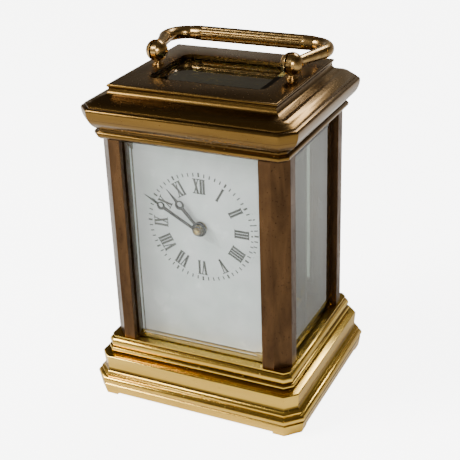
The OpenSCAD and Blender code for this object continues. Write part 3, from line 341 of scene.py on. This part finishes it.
# %% Finishing a part
def show(name, shape, finish, body, node=None, bevel_mm=0.0, crease=32):
    """Turns a bmesh into a piece that rides on a body."""
    mesh = bpy.data.meshes.new(name)
    shape.to_mesh(mesh)
    shape.free()
    mesh.shade_smooth()
    mesh.set_sharp_from_angle(angle=math.radians(crease))
    piece = bpy.data.objects.new(name, mesh)
    piece.data.materials.append(finish)
    bpy.context.scene.collection.objects.link(piece)
    if bevel_mm:
        edge = piece.modifiers.new("edge", "BEVEL")
        edge.width, edge.segments, edge.limit_method = bevel_mm * MM, 2, "ANGLE"
        edge.angle_limit, edge.harden_normals, edge.miter_outer = math.radians(crease), True, "MITER_SHARP"
    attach(piece, body)
    if node:
        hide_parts(node)
    return piece


def finish_part(node, finish, bevel_mm=0.0, crease=32):
    shape = bmesh.new()
    shape.from_mesh(frame["nodes"][node].data)
    for layer in list(shape.loops.layers.uv):
        shape.loops.layers.uv.remove(layer)
    bmesh.ops.remove_doubles(shape, verts=shape.verts, dist=2e-7)
    bmesh.ops.dissolve_limit(shape, angle_limit=math.radians(0.6), use_dissolve_boundaries=False,
                             verts=shape.verts, edges=shape.edges, delimit=set())
    return show(node + "_finished", shape, finish, body_of_node[node], node,
                bevel_mm, crease)


CASE = {"base_moulding": (base_brass, 0.12), "cornice": (cornice_brass, 0.1),
        "pillar_front_left": (pillar_brass, 0.18), "pillar_front_right": (pillar_brass, 0.18),
        "pillar_back_left": (pillar_brass, 0.18), "pillar_back_right": (pillar_brass, 0.18),
        "front_glass": (front_pane_glass, 0.0), "left_glass": (side_pane_glass, 0.0),
        "right_glass": (side_pane_glass, 0.0),
        "top_glass": (side_pane_glass, 0.0), "door_glass": (front_pane_glass, 0.0),
        "door_frame": (door_brass, 0.08), "door_glass_bead": (door_brass, 0.0),
        "door_knob": (door_brass, 0.05),
        "handle_bail": (handle_brass, 0.06), "handle_posts": (handle_brass, 0.06),
        "handle_washers": (handle_brass, 0.06), "handle_pivot_pins": (handle_brass, 0.04)}
MOVEMENT = {"dial": (dial_enamel, 0.2), "front_plate": (movement_brass, 0.1),
            "back_plate": (movement_brass, 0.1),
            "plate_pillars": (movement_brass, 0.1), "barrel_drum": (movement_brass, 0.0),
            "barrel_cover": (movement_brass, 0.08), "ratchet_wheel": (polished_steel, 0.04),
            "click": (polished_steel, 0.06), "click_spring": (spring_steel, 0.05),
            "barrel_arbor": (polished_steel, 0.05),
            "platform": (movement_brass, 0.08), "escape_cock": (movement_brass, 0.06),
            "lever_cock": (movement_brass, 0.06), "balance_cock": (movement_brass, 0.06),
            "balance": (movement_brass, 0.04), "regulator": (polished_steel, 0.03),
            "hour_hand": (blued_steel, 0.05), "minute_hand": (blued_steel, 0.05),
            "hand_collet": (handle_brass, 0.05),
            "plate_screws": (polished_steel, 0.06), "click_screw": (polished_steel, 0.05),
            "platform_screws": (blued_steel, 0.04), "case_tie_screws": (polished_steel, 0.08),
            "retainer_screws": (polished_steel, 0.05), "handle_nuts": (movement_brass, 0.06),
            "movement_screws": (polished_steel, 0.05), "setting_arbor": (polished_steel, 0.0)}
for node, (finish, bevel_mm) in (CASE | MOVEMENT).items():
    finish_part(node, finish, bevel_mm, 6 if node.endswith("_glass") else 32)

PLAIN = {"gilt_brass": base_brass, "lacquered_brass": handle_brass, "patinated_brass": pillar_brass,
         "door_brass": door_brass, "movement_brass": movement_brass, "steel": polished_steel,
         "spring_steel": spring_steel, "blued_steel": blued_steel, "plate_glass": front_pane_glass,
         "enamel": dial_enamel, "ruby": jewel_ruby}
for node, part in frame["nodes"].items():
    part.data.materials.clear()
    part.data.materials.append(PLAIN[slot_of_node[node]])
print("finished parts:", len(CASE) + len(MOVEMENT))

# %% [markdown]
# Roman figures on a dial stand with their feet to the middle. Each is built from straight pen strokes: a
# broad stroke, a thin stroke and short serifs. One stroke is a cube stretched between two points, so a
# whole figure is a handful of cubes turned to its hour. Four is written IIII, as clockmakers do.

# %% Figures and minute track
HANDS_HEIGHT = 46 * MM
arbor_low, arbor_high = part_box("centre_arbor")
hub = Vector(((arbor_low.x + arbor_high.x) / 2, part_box("dial")[0].y, HANDS_HEIGHT))
PRINT_MM = 0.03


def stroke(shape, start, end, width):
    """A flat bar on the dial from start to end, in mm right of and above a middle."""
    (x0, y0), (x1, y1) = start, end
    length, lean = math.hypot(x1 - x0, y1 - y0), math.atan2(y1 - y0, x1 - x0)
    at = Matrix.Translation(((x0 + x1) / 2, (y0 + y1) / 2, 0)) @ Matrix.Rotation(lean, 4, "Z")
    bmesh.ops.create_cube(shape, size=1, matrix=at @ Matrix.Diagonal((length, width, 2 * PRINT_MM, 1)))


def glyph(shape, letter, x):
    """Draws one letter with its left edge at x and its feet at 0; returns its width."""
    tall, bold, hair, serif = 3.7, 0.56, 0.27, 0.24
    if letter == "I":
        stroke(shape, (x + 0.36, 0), (x + 0.36, tall), bold)
        for y in (serif / 2, tall - serif / 2):
            stroke(shape, (x - 0.02, y), (x + 0.74, y), serif)
        return 0.72
    wide = 1.62
    low_left, low_right = (0.81, 0.81) if letter == "V" else (0.34, 1.3)
    stroke(shape, (x + 0.36, tall - 0.05), (x + low_right, 0.05), bold)
    stroke(shape, (x + 1.34, tall - 0.05), (x + low_left, 0.05), hair)
    feet = () if letter == "V" else ((low_left, 0), (low_right, 0))
    for middle, y in ((0.36, tall), (1.34, tall)) + feet:
        y = y + (serif / 2 if y == 0 else -serif / 2)
        stroke(shape, (x + middle - 0.42, y), (x + middle + 0.42, y), serif)
    return wide + 0.06


def on_dial(degrees):
    """Turns a drawing at the dial's middle clockwise from twelve and stands it on the dial's face."""
    return Matrix.Translation(hub) @ Matrix.Rotation(math.radians(90), 4, "X") \
        @ Matrix.Rotation(-math.radians(degrees), 4, "Z") @ Matrix.Scale(MM, 4)


figures = bmesh.new()
for hour, text in enumerate(("XII", "I", "II", "III", "IIII", "V", "VI", "VII", "VIII", "IX", "X", "XI")):
    one = bmesh.new()
    x = 0.0
    for letter in text:
        x += glyph(one, letter, x)
    centred = Matrix.Translation((-x / 2, 8.55, 0))
    bmesh.ops.transform(one, matrix=on_dial(30 * hour) @ centred, verts=one.verts)
    part = bpy.data.meshes.new("figure")
    one.to_mesh(part)
    one.free()
    figures.from_mesh(part)
    bpy.data.meshes.remove(part)
show("dial_figures", figures, figure_enamel, "case")

track = bmesh.new()
for minute in range(60):
    before = set(track.verts)
    bold = minute % 5 == 0
    stroke(track, (0, 12.75), (0, 13.8 if bold else 13.65), 0.44 if bold else 0.29)
    bmesh.ops.transform(track, matrix=on_dial(6 * minute), verts=[v for v in track.verts if v not in before])
show("minute_track", track, figure_enamel, "case")
print("figures and track drawn at", [round(c / MM, 2) for c in hub])
